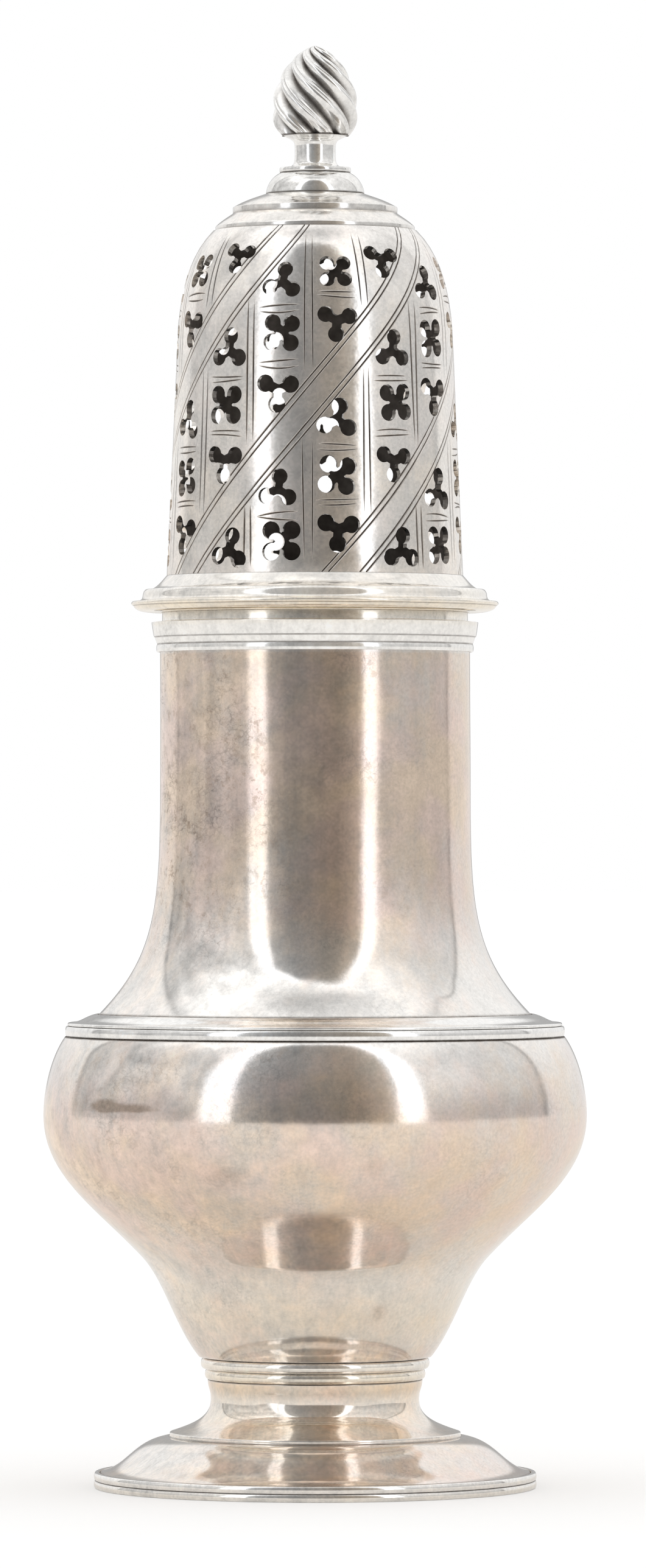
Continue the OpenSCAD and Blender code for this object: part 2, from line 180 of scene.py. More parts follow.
def dented(knocks, angle, z):
    # dents: the radius falls by each depth as a bell over the heading in degrees and the height in mm
    heading = np.degrees(angle) + 90
    fall = np.zeros(np.broadcast(angle, z).shape)
    for at, level, wide, tall, depth in knocks:
        away = (heading - at + 180) % 360 - 180
        fall += depth * np.exp(-(away / wide) ** 2 - ((z - level) / tall) ** 2)
    return -fall


def ringFaces(rows, sides, poles):
    # faces between neighbouring rings, where point i * sides + j is the j-th of ring i: the last ring joins the
    # first, or two poles, numbered after the rings, close both ends with triangles
    i, j = np.arange(rows - 1 if poles else rows)[:, None], np.arange(sides)
    after, low, high = (j + 1) % sides, i * sides, (i + 1) % rows * sides
    faces = np.stack([low + j, low + after, high + after, high + j], -1).reshape(-1, 4).tolist()
    if poles:
        bottom, last = np.full(sides, rows * sides), (rows - 1) * sides
        faces += np.stack([bottom, after, j], 1).tolist()
        faces += np.stack([last + j, last + after, bottom + 1], 1).tolist()
    return faces


def turned(name, node, body, slot, outline, seams=(), sides=turning["sides"], edge=0.1, grime=0.7,
           knocks=(), stainsAndReflection=()):
    # turned piece: an outline point (r, z) becomes the ring (r cos a, r sin a, z) over all angles a, rings are
    # joined by four-sided faces, and an outline that starts and ends on the axis is closed by two poles
    outline = np.asarray(outline, float)
    outline = outline[np.linalg.norm(outline - np.roll(outline, 1, 0), axis=1) > 1e-6]
    standing, falling = corners(outline, turning["corner"])
    offAxis = outline[:, 0] > 0
    spots = np.vstack([outline[falling & offAxis], np.reshape(seams, (-1, 2))])
    edges = outline[standing & offAxis]
    points = easeCorners(outline, edge)
    poles, rings = points[points[:, 0] == 0], points[points[:, 0] > 0]
    closed = len(poles) > 0
    angle = np.linspace(0, 2 * np.pi, sides, endpoint=False)
    r, z = rings[:, :1], np.repeat(rings[:, 1:], sides, 1)
    r = r + handRaised(angle, z) + dented(knocks, angle, z)
    verts = np.stack([r * np.cos(angle), r * np.sin(angle), z], -1).reshape(-1, 3)
    step = np.roll(rings, -1, 0) - rings
    lookIn = step[:, 1] < -turning["lookIn"] * np.linalg.norm(step, axis=1)
    slots = np.repeat(lookIn[:-1] if closed else lookIn, sides)
    if closed:
        verts = np.vstack([verts, np.insert(poles, 1, 0, 1)])
        slots = np.concatenate([slots, np.zeros(sides), np.ones(sides)])
    piece = addObject(name, verts, ringFaces(len(rings), sides, closed), [silvers[slot], insides[body]], slots)
    bare = np.zeros(len(poles))
    paint(piece, "soil", np.append(np.repeat(grime * nearness(rings, spots, turning["soilReach"]), sides), bare))
    paint(piece, "wear", np.append(np.repeat(nearness(rings, edges, turning["wearReach"]), sides), bare))
    # stains, and on the bowl a painted reflection of a dark streak, as bells over heading and height like the dents
    paint(piece, "stain", np.append(-dented(stainsAndReflection, angle, z), bare))
    dress(piece, node, body)


# Finishes

class Socket:
    # one output socket of a node tree; an operator between it and a number or another, on either side, adds its
    # Math node

    def __init__(self, tree, out=None):
        self.tree = tree
        self.out = out

    def add(self, kind, settings=None, values=None, take=0):
        # any node: its settings first, a ramp's stops among them, then the values or links of its sockets
        node = self.tree.nodes.new(kind)
        for key, value in (settings or {}).items():
            if key == "stops":
                ramp = node.color_ramp.elements
                while len(ramp) < len(value):
                    ramp.new(1)
                for stop, (place, colour) in zip(ramp, value):
                    stop.position = place
                    stop.color = colour
            else:
                setattr(node, key, value)
        for key, value in (values or {}).items():
            if isinstance(value, Socket):
                self.tree.links.new(value.out, node.inputs[key])
            else:
                node.inputs[key].default_value = value
        return Socket(self.tree, node.outputs[take] if len(node.outputs) else None)

    def twin(self, name):
        # another output of the same node
        return Socket(self.tree, self.out.node.outputs[name])

    def math(self, operation, *terms):
        # the operation on the terms, in their order
        return self.add("ShaderNodeMath", {"operation": operation}, dict(enumerate(terms)))

    def __neg__(self):
        # this times -1
        return self.math("MULTIPLY", self, -1)

    def __abs__(self):
        # this without its sign
        return self.math("ABSOLUTE", self)

    def ease(self, low, high):
        # 0 below low, 1 above high and a smooth step between
        return self.add("ShaderNodeMapRange", {"interpolation_type": "SMOOTHSTEP"},
                        {"Value": self, "From Min": low, "From Max": high})

    def mix(self, first, second):
        # the first colour where this is 0, the second where it is 1
        return self.add("ShaderNodeMix", {"data_type": "RGBA"}, {0: self, 6: first, 7: second}, take=2)

    def blend(self, first, second):
        # the first number where this is 0, the second where it is 1
        return self * second + (1 - self) * first


# the five operators and their reflected forms, each one Math node
for sign, operation in (("add", "ADD"), ("sub", "SUBTRACT"), ("mul", "MULTIPLY"), ("truediv", "DIVIDE"),
                        ("pow", "POWER")):
    setattr(Socket, f"__{sign}__", lambda self, other, kind=operation: self.math(kind, self, other))
    setattr(Socket, f"__r{sign}__", lambda self, other, kind=operation: self.math(kind, other, self))


def colour(r, g, b):
    # opaque colour from its linear red, green and blue
    return (r, g, b, 1)


def newFinish(name):
    # empty material: its tree, its output and the place on the piece in mm
    finish = bpy.data.materials.new(name)
    finish.use_nodes = True
    tree = finish.node_tree
    tree.nodes.clear()
    start = Socket(tree)
    place = start.add("ShaderNodeTexCoord", take="Object")
    place = start.add("ShaderNodeVectorMath", {"operation": "SCALE"}, {0: place, "Scale": 1 / mm})
    return finish, start, place


def noise(place, size, detail=3, rough=0.5, turn=(0, 0, 0), stretch=(1, 1, 1)):
    # cloud of patches of that size in mm, on the place turned and then squeezed along its axes
    if turn != (0, 0, 0) or stretch != (1, 1, 1):
        place = place.add("ShaderNodeMapping", {}, {"Vector": place, "Rotation": turn, "Scale": stretch})
    return place.add("ShaderNodeTexNoise", {}, {"Vector": place, "Scale": 1 / size, "Detail": detail,
                                                "Roughness": rough})


def scratches(place, size, turn, width, drawn=30, sharp=0.4):
    # hairlines: the level line at one half of a cloud that is drawn out along one axis
    lines = abs(noise(place, size, 2, 0.5, turn, (1, 1 / drawn, 1)) - 0.5)
    return 1 - lines.ease(width * sharp, width)


# share of tarnish by height in mm, from the foot's rim to the tip
tarnishLevels = ((0, 0.75), (4, 0.4), (6.5, 0.4), (9, 0.32), (11, 0.35), (14, 0.8), (18, 0.4), (25, 0.28),
                 (34, 0.83), (44, 0.8), (49, 0.58), (54, 0.35), (58, 0.12), (63, 0.3), (70, 0.75), (84, 0.95),
                 (101.2, 0.8), (101.6, 0.12), (105, 0.12), (105.3, 0.6), (107, 0.55), (107.6, 0.5), (110.7, 0.5),
                 (111.3, 0.4), (152, 0.33), (153, 0.14), (176, 0.1))
# share of a golden tint by height in mm
goldLevels = ((0, 0.3), (3, 0), (5, 0), (6.6, 0.4), (8.5, 0.6), (10.5, 0.4), (11.5, 0.5), (12.5, 0.9), (13.2, 1),
              (14.4, 0.6), (16, 0.25), (18, 0.45), (21, 0.75), (26, 0.4), (34, 0.35), (40, 0.3), (46, 0), (105, 0.1),
              (105.3, 1), (107.1, 1), (107.7, 0.3), (113, 0.2), (150, 0.1), (176, 0))
# share of matt haze by height in mm
hazeLevels = ((0, 0.05), (13, 0.06), (16, 0.14), (32, 0.14), (44, 0), (101.2, 0), (101.6, 0.2), (105, 0.2),
              (105.3, 0), (107.3, 0), (107.8, 0.25), (109.2, 0.3), (111, 0.3), (111.6, 0.04), (176, 0.04))

silverLooks = {
    "bodySilver": {
        "pale": colour(0.92, 0.90, 0.87), "warm": colour(0.85, 0.70, 0.565), "rose": colour(0.83, 0.675, 0.60),
        "stain": colour(0.38, 0.29, 0.22), "film": 1.0, "gloss": 0.11, "dull": 0.23, "wave": 0.07, "ripple": 0.008,
        "scratch": 0.6, "freckle": 1.0},
    "mouldingSilver": {
        "pale": colour(0.955, 0.945, 0.925), "warm": colour(0.90, 0.83, 0.745), "rose": colour(0.88, 0.82, 0.77),
        "stain": colour(0.50, 0.42, 0.34), "film": 0.5, "gloss": 0.11, "dull": 0.21, "wave": 0.03, "ripple": 0.006,
        "scratch": 0.4, "freckle": 0.4},
    "engravedSilver": {
        "pale": colour(0.94, 0.92, 0.895), "warm": colour(0.87, 0.79, 0.70), "rose": colour(0.87, 0.79, 0.745),
        "stain": colour(0.45, 0.38, 0.32), "film": 0.95, "gloss": 0.17, "dull": 0.32, "wave": 0.12, "ripple": 0.055,
        "scratch": 0.2, "freckle": 0.5},
    "castSilver": {
        "pale": colour(0.93, 0.92, 0.90), "warm": colour(0.82, 0.78, 0.74), "rose": colour(0.82, 0.77, 0.76),
        "stain": colour(0.40, 0.35, 0.31), "film": 1.5, "gloss": 0.16, "dull": 0.3, "wave": 0.03, "ripple": 0.01,
        "scratch": 0.4, "freckle": 0.6},
}
# clouds on all silver: size in mm, detail and roughness, and for streaks the turn and the squeeze of the place
clouds = {"cloud": (15, 3, 0.55), "patch": (6, 4, 0.6), "mottle": (1.7, 5, 0.72), "grain": (0.42, 2, 0.6),
          "streak": (1.4, 3, 0.6, (0, 0, 0), (1, 1, 0.04)), "speck": (1.9, 4, 0.75), "leftSide": (13, 2),
          "scratched": (9, 2), "rosy": (8, 3)}
hairlines = ((1.5, (0.4, 0.9, 0.2), 0.034), (1.9, (1.3, 0.2, 1.1), 0.03), (1.3, (0.1, 1.5, 2.2), 0.03))
# shares of the clouds in the tarnish and in the shade of much used metal
filmShares = {"cloud": 0.8, "patch": 0.9, "mottle": 0.65, "streak": 0.4}
usedShares = {"mottle": 0.38, "patch": 0.45, "streak": 0.2}
relief = {"mottle": 0.0022, "streak": 0.0022, "grain": 0.0003, "hair": -0.0012, "freckle": -0.0012}  # heights in mm
metal = {"gold": colour(0.98, 0.9, 0.77), "dirt": colour(0.10, 0.08, 0.065), "dirtRough": 0.5, "shade": 0.97,
         "grainShade": 0.4, "hairShade": 0.28, "leftSlope": 0.018, "leftLow": 0.3, "usedLeft": 1.5, "usedRight": 0.6}


def byHeight(z, levels):
    # a value that runs in straight lines between given heights
    top = levels[-1][0]
    return z.add("ShaderNodeValToRGB", {"stops": [(at / top, colour(v, v, v)) for at, v in levels]}, {0: z / top})


def silver(name):
    # worn polish: pale metal under warm tarnish in clouds, heavier at some heights and golden at others, with dark
    # freckles and hairlines that grow towards the left, stains and a painted reflection, upright streaks, soil in
    # hollows, bright edges and some haze
    look = silverLooks[name]
    finish, start, place = newFinish(name)
    soil, wear, stain = (start.add("ShaderNodeAttribute", {"attribute_name": key}, take="Fac")
                         for key in ("soil", "wear", "stain"))
    x = start.add("ShaderNodeSeparateXYZ", {}, {0: place})
    z = x.twin("Z")
    seen = {key: noise(place, *values) for key, values in clouds.items()}
    patch, mottle, grain, speck = (seen[key] for key in ("patch", "mottle", "grain", "speck"))

    def shared(shares):
        # sum of some clouds about their middle, each times its share
        return sum((seen[key] - 0.5) * share for key, share in shares.items())

    heavy = byHeight(z, tarnishLevels) * look["film"]
    film = (heavy * 0.95 + shared(filmShares)).ease(0, 1.05)
    left = (seen["leftSide"] * 1.6 - x * metal["leftSlope"] - 0.8 + heavy * 0.35).ease(0.1, 0.9)
    left = left * z.ease(46, 64).blend(metal["leftLow"], 1)
    hair = sum(scratches(place, *values) for values in hairlines)
    hair = hair * seen["scratched"].ease(0.45, 0.65) * (left * 0.75 + 0.25) * look["scratch"]
    freckle = (speck * 0.75 + grain * 0.3).ease(0.53, 0.66) * (left * 0.88 + 0.1) * look["freckle"]
    # the piece's stains, and on the bowl a painted reflection of a dark streak, darken it like freckles
    freckle = start.math("MAXIMUM", freckle, (stain * (0.35 + speck * 1.3)).ease(0.15, 0.9))
    dirt = (soil * (0.6 + mottle * 0.8)).ease(0.12, 0.9)

    tone = film.mix(look["pale"], seen["rosy"].ease(0.4, 0.62).mix(look["warm"], look["rose"]))
    gold = byHeight(z, goldLevels) * (0.5 + patch)
    tone = start.add("ShaderNodeMix", {"data_type": "RGBA", "blend_type": "MULTIPLY"},
                     {0: gold, 6: tone, 7: metal["gold"]}, take=2)
    # freckles, stains and the painted reflection take the stain colour
    tone = (freckle * 0.75).mix(tone, look["stain"])
    tone = (wear * 0.5).mix(tone, look["pale"])
    used = x.ease(-4, 22).blend(metal["usedLeft"], metal["usedRight"])
    shade = (metal["shade"] + (grain - 0.5) * metal["grainShade"] + shared(usedShares) * used
             - hair * metal["hairShade"])
    tone = start.add("ShaderNodeVectorMath", {"operation": "SCALE"}, {0: tone, "Scale": shade})
    tone = dirt.mix(tone, metal["dirt"])

    rough = (film * 0.5 + freckle * 0.6 + hair * 0.3 + (patch - 0.5) * 0.8).ease(0, 1.2)
    rough = rough.blend(look["gloss"], look["dull"]) * z.ease(26, 40).blend(0.8, 1)
    rough = dirt.blend(rough, metal["dirtRough"])
    haze = byHeight(z, hazeLevels) * (0.6 + patch * 0.8)
    seen.update(hair=hair, freckle=freckle)
    height = (seen["cloud"] * look["wave"] + patch * look["ripple"]
              + sum(seen[key] * share for key, share in relief.items()))
    bump = start.add("ShaderNodeBump", {}, {"Height": height * mm, "Strength": 1, "Distance": 1})
    shader = start.add("ShaderNodeBsdfPrincipled", {}, {"Base Color": tone, "Roughness": rough, "Metallic": 1 - haze,
                                                        "Normal": bump})
    start.add("ShaderNodeOutputMaterial", {}, {"Surface": shader})
    return finish


def unpolished(name, pale, dark, rough):
    # inside of the sheet: dull grey under dark tarnish in clouds
    finish, start, place = newFinish(name)
    film = (noise(place, 6, 4, 0.6) * 0.7 + noise(place, 1.1, 3) * 0.4).ease(0.3, 0.75)
    height = noise(place, 1.6, 3) * (0.01 * mm)
    bump = start.add("ShaderNodeBump", {}, {"Height": height, "Strength": 1, "Distance": 1})
    shader = start.add("ShaderNodeBsdfPrincipled", {}, {"Base Color": film.mix(pale, dark), "Metallic": 1,
                                                        "Roughness": film * 0.12 + rough, "Normal": bump})
    start.add("ShaderNodeOutputMaterial", {}, {"Surface": shader})
    return finish


# one silver for each slot of the record, and the inside of each body
silvers = {"body_silver": silver("bodySilver"), "moulding_silver": silver("mouldingSilver"),
           "engraved_silver": silver("engravedSilver"), "cast_silver": silver("castSilver")}
insides = {"vessel": unpolished("vesselInside", colour(0.66, 0.60, 0.53), colour(0.42, 0.36, 0.30), 0.3),
           # the cover's inside is dull tarnished silver, painted far darker than the vessel's inside as painted shade
           # for the dark seen through the piercings
           "cover": unpolished("coverInsideWithPaintedShade", colour(0.27, 0.24, 0.22), colour(0.13, 0.115, 0.10), 0.42)}
print("finishes made")


# Foot

footRim = {"width": 3.3, "ledge": 1.0, "reed": 0.2}


def makeFootRim():
    # ring on the table with two reeds outside and a ledge inside for the foot's edge
    size = sizes["foot_rim"]
    edgeR = sizes["foot"].r + gap
    inR = size.r - footRim["width"]
    reedR = size.r - footRim["reed"]
    mid = size.high / 2
    outline = np.vstack([
        [(inR, 0)],
        bead(reedR, 0, mid, footRim["reed"]),
        bead(reedR, mid, size.high, footRim["reed"]),
        [(edgeR, size.high), (edgeR, footRim["ledge"]), (inR, footRim["ledge"])]])
    turned("footRim", "foot_rim", "vessel", "moulding_silver", outline, [(edgeR, size.high)])


foot = {"stepR": 17.7, "stepZ": 6.2, "tread": 0.5, "rise": 0.55, "waistR": 12.7, "waistZ": 10.8, "throatOut": 0.35,
        "spigotIn": 0.55, "domeLeave": (-3.2, 0.6), "domeMeet": (-3.9, 0.5), "spoolLeave": (-2.6, 0.9),
        "spoolMeet": (0, 2.4), "throatLeave": (0, 1.2),
        "knocks": [(-42, 9, 9, 1.6, 0.1), (-24, 11.5, 7, 1.4, 0.09), (26, 9.5, 8, 1.5, 0.1), (48, 11, 9, 1.5, 0.09),
                   (-50, 4, 10, 1.5, 0.13), (-20, 4.6, 8, 1.2, 0.1), (18, 4.2, 8, 1.2, 0.1), (45, 4.5, 10, 1.4, 0.13),
                   (95, 10, 12, 2, 0.1), (160, 9, 12, 2, 0.1), (215, 11, 10, 1.5, 0.1), (180, 4, 12, 1.5, 0.12)]}
spigotR = foot["waistR"] - foot["spigotIn"]


def makeFoot():
    # low dome, step and spool on three cubics, with a spigot up through the collar
    size, top = sizes["foot"], sizes["foot_collar"].low
    tread = np.array((foot["stepR"], foot["stepZ"]))
    waist = (foot["waistR"], foot["waistZ"])
    rimTop = sizes["foot_rim"].high
    dome = curve((size.r, rimTop), foot["domeLeave"], foot["domeMeet"], tread + (foot["tread"], 0), 32)
    spool = curve(tread + (0, foot["rise"]), foot["spoolLeave"], foot["spoolMeet"], waist, 28)
    throat = curve(waist, foot["throatLeave"], foot["throatLeave"], (foot["waistR"] + foot["throatOut"], top), 10)
    skirt = np.vstack([[(size.r, size.low)], dome, [tread], spool])
    bore = spigotR - wall
    outline = np.vstack([
        skirt, throat[1:],
        [(spigotR, top), (spigotR, size.high), (bore, size.high), (bore, foot["waistZ"])],
        sheetInside(skirt)[::-1]])
    seams = [(size.r, rimTop), throat[-1]]
    turned("footShell", "foot", "vessel", "body_silver", outline, seams, edge=0.2, knocks=foot["knocks"])


collar = {"reed": 0.4, "step": 0.5, "groove": 0.1}


def makeCollar():
    # two reeds around the spigot, the lower one stepped in
    size = sizes["foot_collar"]
    bore = spigotR + gap
    split = (size.low + size.high - collar["groove"]) / 2
    upperR = size.r - collar["reed"]
    outline = np.vstack([
        [(bore, size.low)],
        bead(upperR - collar["step"], size.low, split, collar["reed"]),
        bead(upperR, split, size.high - collar["groove"], collar["reed"]),
        [(upperR, size.high), (bore, size.high)]])
    turned("footCollar", "foot_collar", "vessel", "moulding_silver", outline, edge=0.05)


# Bowl and neck

bowl = {"baseOut": 0.2, "turnR": 21, "turnZ": 12.1, "bellyZ": 29.3, "leave": (2.9, 3.6), "turnSlope": (2.7, 2.9),
        "bellyMeet": 7.4, "mouthLeave": 3.6, "mouthMeet": (-1.55, 2.2),
        # stains as bells over heading and height: the first two, a thin dark streak on the left, are a painted
        # reflection and the rest are stains
        "stainsAndReflection": [(-50, 46.9, 4, 0.7, 1.7), (-41, 46.7, 6, 0.4, 1.3), (-20, 38.8, 8, 2.2, 0.5),
                   (-40, 49.5, 9, 2.2, 0.45), (13, 40, 4, 2, 0.45), (26, 22, 5, 1.5, 0.5), (100, 42, 14, 3, 0.5),
                   (190, 45, 18, 2, 0.5), (240, 36, 12, 3, 0.5)],
        "knocks": [(-54, 52.5, 6, 1.8, 0.14), (-40, 50.4, 5, 1.6, 0.13), (-29, 53, 5, 1.5, 0.1),
                   (-46, 48.6, 7, 1.2, -0.06), (44, 51.5, 8, 2.2, 0.09), (110, 50, 9, 2, 0.12),
                   (170, 51, 8, 2, 0.12), (230, 49, 9, 2, 0.12)]}


def makeBowl():
    # hollow curve, full curve and shoulder on three cubics, closed by a flat bottom
    size = sizes["bowl"]
    baseR = sizes["foot_collar"].r + bowl["baseOut"]
    low = size.low
    turn, belly = (bowl["turnR"], low + bowl["turnZ"]), (size.r, low + bowl["bellyZ"])
    mouth = (sizes["girdle_moulding"].r, size.high)
    slope = np.array(bowl["turnSlope"])
    side = np.vstack([
        curve((baseR, low), bowl["leave"], slope, turn, 28),
        curve(turn, 2 * slope, (0, bowl["bellyMeet"]), belly, 32)[1:],
        curve(belly, (0, bowl["mouthLeave"]), bowl["mouthMeet"], mouth, 24)[1:]])
    inside = sheetInside(side)[1:]
    floor = low + wall
    outline = np.vstack([[(0, low)], side, inside[::-1], [(inside[0, 0], floor), (0, floor)]])
    turned("bowlShell", "bowl", "vessel", "body_silver", outline, [mouth], grime=1.0, knocks=bowl["knocks"],
           stainsAndReflection=bowl["stainsAndReflection"])


girdle = {"reedH": 1.25, "thinH": 0.45, "shelf": 4.1, "lip": 0.35, "reed": 0.2, "thinIn": 0.3, "sag": 0.35,
          "land": 0.4}
flareR = sizes["girdle_moulding"].r - girdle["shelf"]


def makeGirdle():
    # ring over the seam: a broad reed, a thin reed and a hollow shelf up to the neck
    size = sizes["girdle_moulding"]
    reedZ = size.low + girdle["reedH"]
    thinZ = reedZ + girdle["thinH"]
    reedR = size.r - girdle["reed"]
    thinR = reedR - girdle["thinIn"]
    lipR = size.r - girdle["lip"]
    land = size.low + wall
    neckSide = flareR + 2 * gap
    reach = girdle["shelf"] / 3
    outline = np.vstack([
        [(lipR, size.low)],
        bead(reedR, size.low, reedZ, girdle["reed"]),
        bead(thinR, reedZ, thinZ, girdle["reed"]),
        curve((thinR, thinZ), (-reach, 0), (-reach, girdle["sag"]), (neckSide + girdle["land"], size.high), 20),
        [(neckSide, size.high), (neckSide + size.high - land, land), (lipR, land)]])
    seams = [(size.r, size.low), (neckSide, size.high)]
    turned("girdle", "girdle_moulding", "vessel", "moulding_silver", outline, seams, edge=0.06, grime=1.0)


neck = {"flareH": 26.5, "leave": (-6.4, 6.6), "meet": 14.5,
        "knocks": [(12, 60.5, 9, 1.2, 0.1), (27, 62, 7, 1.5, -0.08), (-30, 63, 10, 2.5, 0.09), (-58, 90, 16, 9, 0.1),
                   (38, 60.3, 5, 1.1, 0.08), (-12, 62.5, 6, 1.3, 0.07),
                   (60, 78, 14, 8, -0.08), (120, 64, 12, 3, 0.1), (200, 88, 20, 8, 0.1), (250, 63, 10, 2, 0.1)]}


def makeNeck():
    # flare on one cubic, then an upright tube; its foot is a flange on the bowl's edge
    size = sizes["neck"]
    low, high, start = size.low, size.high, sizes["girdle_moulding"].high
    land = low + wall
    flare = curve((flareR, start), neck["leave"], (0, neck["meet"]), (neckR, start + neck["flareH"]), 48)
    tube = np.stack([np.full(12, neckR), np.linspace(start + neck["flareH"], high, 13)[1:]], 1)
    inside = sheetInside(flare)[1:]
    outline = np.vstack([
        [(flareR + start - low - wall * math.sqrt(2), low), (size.r, low), (size.r, land),
         (flareR + start - land, land)],
        flare, tube, [(neckR - wall, high)], inside[::-1]])
    seams = [(flareR, start), (neckR, sizes["lip_moulding"].low)]
    turned("neckShell", "neck", "vessel", "body_silver", outline, seams, knocks=neck["knocks"])


lip = {"band": 0.33, "bandProud": 0.1, "lean": 0.26, "faceLeave": (0.1, 0.5), "faceMeet": (0.04, 0.5),
       "knocks": [(-62, 105, 9, 1.6, 0.14), (-20, 105, 5, 1.3, 0.08), (28, 105, 7, 1.4, 0.1), (57, 105, 5, 1.4, 0.13),
                  (140, 105, 11, 1.6, 0.14), (205, 105, 6, 1.3, 0.12)]}


def makeLip():
    # moulding around the mouth: a low band, a hollow and a broad face that leans out upwards
    size = sizes["lip_moulding"]
    low, high = size.low, size.high
    bore = neckR + gap
    bandZ, reedZ = low + (high - low) / 4, (low + high) / 2
    bandR, faceR = neckR + lip["band"], size.r - lip["lean"]
    rise = lip["bandProud"]
    outline = np.vstack([
        [(bore, low)],
        bead(bandR, low, bandZ, rise),
        curve((bandR, bandZ), (0, rise), (0, rise), (faceR - rise, reedZ), 10),
        curve((faceR, reedZ), lip["faceLeave"], lip["faceMeet"], (size.r, high - rise), 12),
        [(bore, high)]])
    turned("lip", "lip_moulding", "vessel", "moulding_silver", outline, [(bore, low)], edge=0.05, grime=0.6,
           knocks=lip["knocks"])


# Cover

cover = {"seatH": 1.1, "seatW": 0.5, "edgeH": 1.1, "tip": 0.25, "step": 0.4, "edgeMeet": (-0.75, 0.55),
         "coveMeet": (-0.45, 0.45), "centringH": 0.9,
         "dome": {"lean": 1.25, "shoulderH": 13.2, "bend": 7.3, "meet": (-2.1, 2.1), "topOut": 0.3}}


def makeSleeve():
    # plain tube in the neck's bore
    size = sizes["sleeve"]
    r, bore = size.r, size.r - wall
    outline = [(bore, size.low), (r, size.low), (r, size.high), (bore, size.high)]
    turned("sleeveTube", "sleeve", "cover", "body_silver", outline)


def makeFlange():
    # seat on the neck's mouth, a thin edge, an ogee up to the dome and a lip inside it
    size = sizes["cover_flange"]
    low, domeZ, domeR = size.low, sizes["dome"].low, sizes["dome"].r
    sleeveTop = sizes["sleeve"].high
    socketR, seatR = sizes["sleeve"].r + gap, sizes["sleeve"].r + cover["seatW"]
    underside = low + cover["seatH"]
    edgeZ = underside + cover["edgeH"]
    tip = size.r - cover["tip"]
    ogee = np.array(((size.r + domeR) / 2, (edgeZ + domeZ) / 2))
    rise = ogee[1] - edgeZ
    side = cover["dome"]
    lean = side["lean"] * cover["centringH"] / (sizes["dome"].high - domeZ - side["shoulderH"])
    centringR = domeR - wall - lean - gap
    outline = np.vstack([
        [(socketR, low), (seatR, low)],
        curve((seatR, underside), ((tip - seatR) / 2, 0), (cover["tip"], rise / 2), (tip, edgeZ - cover["tip"]), 16),
        bead(tip, edgeZ - cover["tip"], edgeZ + cover["tip"], cover["tip"]),
        curve((tip, edgeZ + cover["tip"]), (-rise, 0), cover["edgeMeet"], ogee + (cover["step"], 0), 16),
        curve(ogee, (-rise / 2, 0), cover["coveMeet"], (domeR, domeZ), 14),
        [(centringR, domeZ), (centringR, size.high), (centringR - wall, size.high),
         (centringR - wall, sleeveTop), (socketR, sleeveTop)]])
    seams = [(domeR, domeZ), (centringR, size.high)]
    turned("flange", "cover_flange", "cover", "moulding_silver", outline, seams, edge=0.06, grime=0.5)


crown = {"edgeH": 0.5, "leave": (-0.6, 0.65), "reedMeet": (-0.7, 0.5), "reedLeave": (-1.2, 0.7), "meet": (-1.6, 0.55),
         "reedR": 10, "reedH": 0.85, "reedUp": 2.1, "reed": 0.2, "innerLeave": (-1.8, 1.7), "innerMeet": (-2.2, 0.9),
         "spigotIn": 0.6, "tangHole": 1.25}


def makeCrown():
    # low cap on two cubics with an upright band between them and an upright edge, a spigot in the dome and a hole
    # for the finial's tang
    size = sizes["crown"]
    domeTop, plinthZ = sizes["dome"].high, size.high
    edge, seat = (size.r, domeTop + crown["edgeH"]), (sizes["finial_plinth"].r, plinthZ)
    reedR, low = crown["reedR"] - crown["reed"], domeTop + crown["reedUp"]
    high = low + crown["reedH"]
    side = np.vstack([
        curve(edge, crown["leave"], crown["reedMeet"], (crown["reedR"], low), 16),
        [(crown["reedR"], high - crown["reed"] / 2)],
        curve((reedR, high), crown["reedLeave"], crown["meet"], seat, 24)])
    inside = sheetInside(curve(edge, crown["innerLeave"], crown["innerMeet"], seat, 28))
    spigot = size.r - crown["spigotIn"]
    hole = crown["tangHole"]
    outline = np.vstack([
        [(spigot - wall, size.low), (spigot, size.low), (spigot, domeTop), (size.r, domeTop)],
        side,
        [(hole, plinthZ), (hole, plinthZ - wall), (inside[-1, 0], plinthZ - wall)],
        inside[1:-1][::-1]])
    seams = [(size.r, domeTop), seat]
    turned("crownShell", "crown", "cover", "body_silver", outline, seams, edge=0.08, grime=0.55)


# Pierced and engraved dome

pierced = {"bands": 5, "columnsEach": 3, "pitch": 25, "cellPitch": 6.6, "lobeR": 1.09, "lobeOut": 1.77, "stemW": 1.3,
           "firstCell": 11.7, "firstHeading": 9, "margin": 3.2, "shift": 2, "lobePoints": 15,
           "four": (45, 135, 225, 315), "upright": (80, 205, 325), "hanging": (20, 150, 265),
           "grid": 1.25, "seed": 11, "placeBy": 0.07, "turnBy": 4, "growBy": 0.03,
           "moved": [(9, 147.5, 0.1, -0.45), (-15, 139.2, 0.3, 0.25), (-15, 114.2, 0.6, 0.4), (33, 130.8, 0.5, 0.3),
                     (33, 114, 0.9, -0.6), (33, 149.2, -0.3, -0.7), (-39, 137.4, 0.4, 0.1), (-39, 114, 1.2, -0.5),
                     (-39, 149.2, 0.4, -0.2), (-15, 145.8, 0.2, 0), (33, 137.4, 0.2, 0.1)]}
engraved = {"bandHalf": 2.03, "lineGap": 0.62, "pairGap": 0.92, "lineW": 0.29, "lineDepth": 0.12, "longPoints": 44,
            "past": 1, "sway": 0.05, "swayLength": 3.1, "swayTurn": 2.4, "points": 10, "taper": 0.35, "clear": 0.25,
            "lowClear": 0.35, "highClear": 0.8, "least": 2, "leanBy": 0.14, "shortBy": 0.5, "tiltBy": 0.12,
            "bowBy": 0.11, "apart": 0.27, "swell": 0.09, "levelLow": 1, "levelHigh": 2, "bandStrips": range(-6, 7),
            "cellStrips": range(-8, 9), "longBeyond": 4, "shortBeyond": 2, "soil": 0.3, "deepSoil": 0.6}


